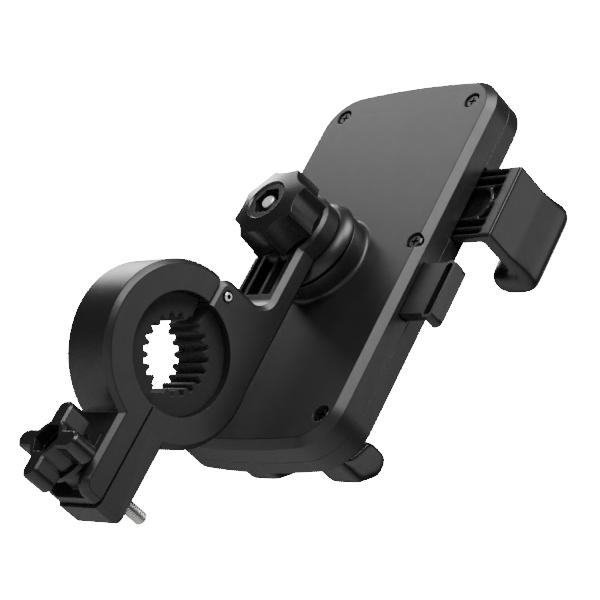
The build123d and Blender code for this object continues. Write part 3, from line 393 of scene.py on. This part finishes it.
def threaded_bolt(node):
    """Clamp bolt along +Y: thread from the tip upwards, plain shank, hexagonal head."""
    tip, top = low(node).y, high(node).y
    axis_x, axis_z = centre(node).x, centre(node).z
    head_under = top - HEAD_HEIGHT
    mesh = bmesh.new()

    def loop(y, radii, turn=0.0):
        count = len(radii)
        ring_vertices = []
        for column, radius in enumerate(radii):
            angle = math.tau * column / count + turn
            ring_vertices.append(mesh.verts.new((axis_x + radius * math.sin(angle), y,
                                                 axis_z + radius * math.cos(angle))))
        return ring_vertices

    def skin(loops):
        count = len(loops[0])
        for below, above in zip(loops, loops[1:]):
            for column in range(count):
                after = (column + 1) % count
                mesh.faces.new((below[column], below[after], above[after], above[column]))
        mesh.faces.new(loops[0][::-1])
        mesh.faces.new(loops[-1])

    step = PITCH / ROWS_PER_PITCH
    rows = int((THREAD_LENGTH + 2 * PITCH) / step)
    shank = [loop(tip + row * step, [thread_radius(row * step, math.tau * column / COLUMNS)
                                     for column in range(COLUMNS)]) for row in range(rows)]
    shank.append(loop(head_under + SHANK_OVERLAP, [BOLT_RADIUS] * COLUMNS))
    skin(shank)
    corner = HEAD_FLATS / math.sqrt(3)
    across = (high(node).x - low(node).x) / 2
    turn = math.radians(30) if across > (corner + HEAD_FLATS / 2) / 2 else 0.0
    head = [loop(head_under, [corner] * 6, turn),
            loop(top - HEAD_CHAMFER_HEIGHT, [corner] * 6, turn),
            loop(top, [corner - HEAD_CHAMFER_DEPTH] * 6, turn)]
    skin(head)
    bmesh.ops.recalc_face_normals(mesh, faces=mesh.faces)
    data = bpy.data.meshes.new(node + "_threaded")
    mesh.to_mesh(data)
    mesh.free()
    data.materials.append(finishes[node])
    piece = bpy.data.objects.new(node + "_threaded", data)
    bpy.context.scene.collection.objects.link(piece)
    for polygon in data.polygons:
        polygon.use_smooth = len(polygon.vertices) == 4 and polygon.area < 0.5 * MM * MM
    stand_for(piece, node)


threaded_bolt("clamp_bolt")


# ---------------------------------------------------------------- stage, light and camera
def add_plane(name, size, location, material):
    """A square of the stage, which isn't part of the mount."""
    mesh = bpy.data.meshes.new(name)
    half = size / 2
    mesh.from_pydata([(-half, -half, 0), (half, -half, 0), (half, half, 0), (-half, half, 0)],
                     [], [(0, 1, 2, 3)])
    mesh.materials.append(material)
    plane = bpy.data.objects.new(name, mesh)
    plane.location = location
    bpy.context.scene.collection.objects.link(plane)
    return plane


def floor_material():
    recipe = Recipe("pale_floor", 0.7)
    base = recipe.colours(recipe.noise(0.5, detail=2), (0.78, 0.78, 0.78), (0.84, 0.84, 0.84))
    recipe.link(base, recipe.shader.inputs["Base Color"])
    return recipe.material


FLOOR_DROP = 0.30
add_plane("floor", 6.0, Vector((0, 0, cad_box[0][2] - FLOOR_DROP)), floor_material())

AMBIENT = 0.075       # light that falls on the mount from all around
BACKDROP = 40.0       # the plain white behind it

world = bpy.data.worlds.new("studio")
world.use_nodes = True
sky = world.node_tree.nodes["Background"]
sky.inputs["Color"].default_value = (1, 1, 1, 1)
seen_by_camera = world.node_tree.nodes.new("ShaderNodeLightPath").outputs["Is Camera Ray"]
strength = world.node_tree.nodes.new("ShaderNodeMapRange")
strength.inputs["To Min"].default_value = AMBIENT
strength.inputs["To Max"].default_value = BACKDROP
world.node_tree.links.new(seen_by_camera, strength.inputs["Value"])
world.node_tree.links.new(strength.outputs["Result"], sky.inputs["Strength"])
bpy.context.scene.world = world

VIEW_DIRECTION = Vector((0.72641, -0.53587, 0.43030))
VIEW_ROLL = math.radians(27.59)
VIEW_POSITION = Vector((-0.4146, 0.2747, -0.2048))


def softbox(name, direction, distance, size, power, aim=Vector((0, -0.01, 0.04))):
    """A soft rectangular light that lies in `direction` from the mount and is aimed at it."""
    data = bpy.data.lights.new(name, "AREA")
    data.shape = "RECTANGLE"
    data.size, data.size_y = size
    data.energy = power
    lamp = bpy.data.objects.new(name, data)
    lamp.location = aim + direction.normalized() * distance
    lamp.rotation_euler = (aim - lamp.location).to_track_quat("-Z", "Y").to_euler()
    bpy.context.scene.collection.objects.link(lamp)
    return lamp


softbox("key", Vector((-0.50, 0.75, 0.50)), 0.9, (0.25, 0.45), 4.2)
softbox("top", Vector((-0.45, 0.35, 0.80)), 0.9, (0.30, 0.45), 7.0)
softbox("plate_glow", Vector((0.85, 0.50, 0.95)), 0.9, (0.6, 0.4), 2.0)
softbox("side", Vector((-0.75, -0.50, 0.45)), 0.9, (0.5, 0.5), 1.05)
softbox("crown", Vector((0.75, 0.0, 0.70)), 0.9, (0.25, 0.40), 3.0)
softbox("lip_rim", Vector((0.34, -0.78, 0.52)), 0.9, (0.5, 0.4), 2.0)
softbox("low_fill", Vector((-0.3, 0.9, -0.6)), 1.0, (0.4, 0.4), 0.5)

camera_data = bpy.data.cameras.new("photo_view")
camera_data.lens = 125.54
camera_data.sensor_width = 36
camera_data.clip_start = 0.01
camera = bpy.data.objects.new("photo_view", camera_data)
camera.location = VIEW_POSITION
camera.rotation_mode = "QUATERNION"
camera.rotation_quaternion = (VIEW_DIRECTION.to_track_quat("-Z", "Y")
                              @ Quaternion((0, 0, 1), VIEW_ROLL))
bpy.context.scene.collection.objects.link(camera)
bpy.context.scene.camera = camera
